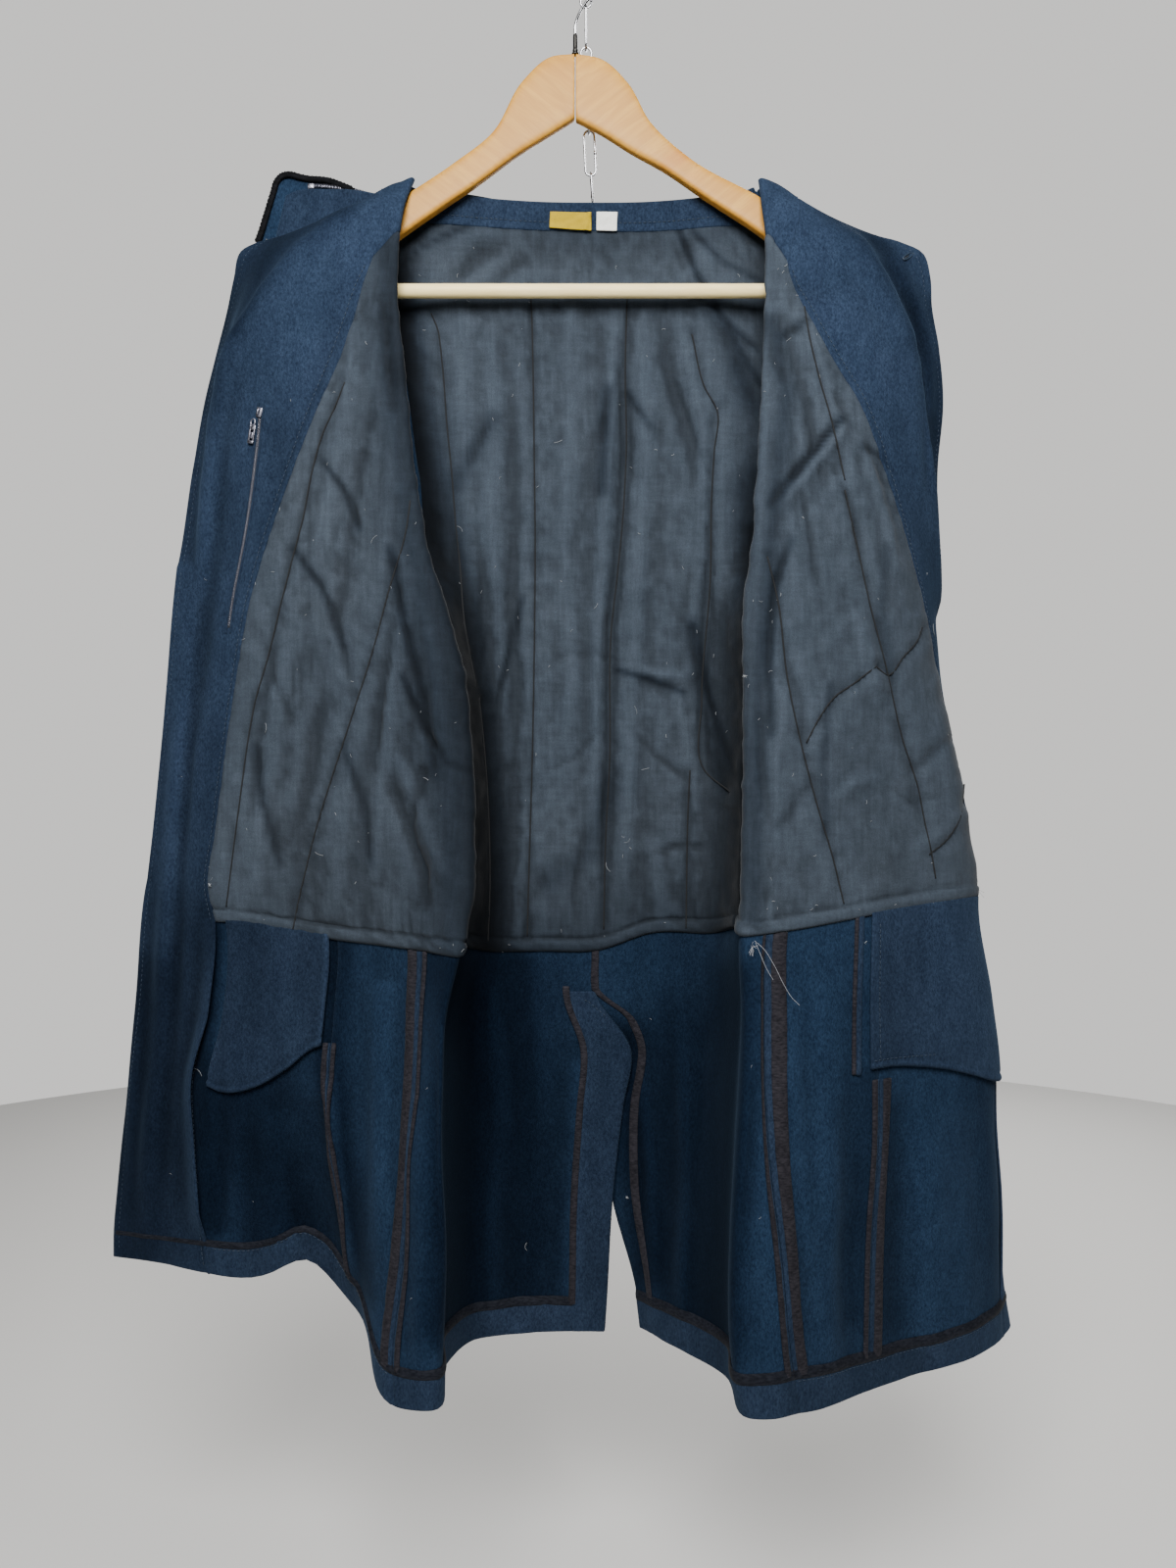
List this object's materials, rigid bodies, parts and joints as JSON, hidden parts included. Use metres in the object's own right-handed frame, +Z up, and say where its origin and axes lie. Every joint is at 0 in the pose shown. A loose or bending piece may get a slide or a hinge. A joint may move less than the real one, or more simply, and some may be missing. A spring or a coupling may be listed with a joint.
{
  "type": "overcoat on a hanger",
  "caption": "Long wool overcoat hung open on a wooden hanger with a trouser bar, quilted lining and inside seams facing out, held by a chain at the hanger's hook",
  "frame": {"origin": "inside top of the topmost chain link, where the hanger's chain is held", "axes": "+Z up, +Y from the viewer towards the wall behind the coat, +X to the viewer's right as the coat hangs"},
  "size_m": [0.7966, 0.1735, 1.2214],
  "materials": {
    "navy_wool": "matte wool melton",
    "navy_inside": "matte wool melton",
    "lining": "matte quilted cotton",
    "binding": "matte woven tape",
    "label": "satin ribbon",
    "tag": "matte ribbon",
    "zip_tape": "matte tape",
    "zip_metal": "dull nickel",
    "wood": "satin varnish",
    "bar_wood": "satin varnish",
    "hook_stem": "dark",
    "hook_wire": "bright",
    "chain_steel": "satin"
  },
  "bodies": {
    "root": {"back_left": "navy_wool", "back_right": "navy_wool", "chain_link_1": "chain_steel", "chain_link_2": "chain_steel", "chain_link_3": "chain_steel", "chain_link_4": "chain_steel", "chain_link_5": "chain_steel", "chain_link_6": "chain_steel", "chain_link_7": "chain_steel", "collar": "navy_wool", "dart_seam_binding_inner_left": "binding", "dart_seam_binding_inner_right": "binding", "dart_seam_binding_outer_left": "binding", "dart_seam_binding_outer_right": "binding", "facing_left": "navy_inside", "facing_right": "navy_inside", "front_left": "navy_wool", "front_right": "navy_wool", "hanger_arm_left": "wood", "hanger_arm_right": "wood", "hanger_bar": "bar_wood", "hanger_hook": "hook_wire", "hem_back_left": "navy_inside", "hem_back_right": "navy_inside", "hem_front_left": "navy_inside", "hem_front_right": "navy_inside", "hook_stem": "hook_stem", "label": "label", "lining_back": "lining", "lining_front_left": "lining", "lining_front_right": "lining", "neck_facing": "navy_inside", "pocket_bag_left": "navy_inside", "pocket_bag_right": "navy_inside", "pocket_zip": "zip_tape", "side_panel_left": "navy_wool", "side_panel_right": "navy_wool", "side_seam_binding_inner_left": "binding", "side_seam_binding_inner_right": "binding", "side_seam_binding_outer_left": "binding", "side_seam_binding_outer_right": "binding", "sleeve_left": "navy_wool", "sleeve_right": "navy_wool", "tag": "tag", "vent_binding": "binding", "vent_facing": "navy_inside", "welt_strip": "navy_inside", "zip_pull": "zip_metal", "zip_slider": "zip_metal"}
  },
  "joints": []
}
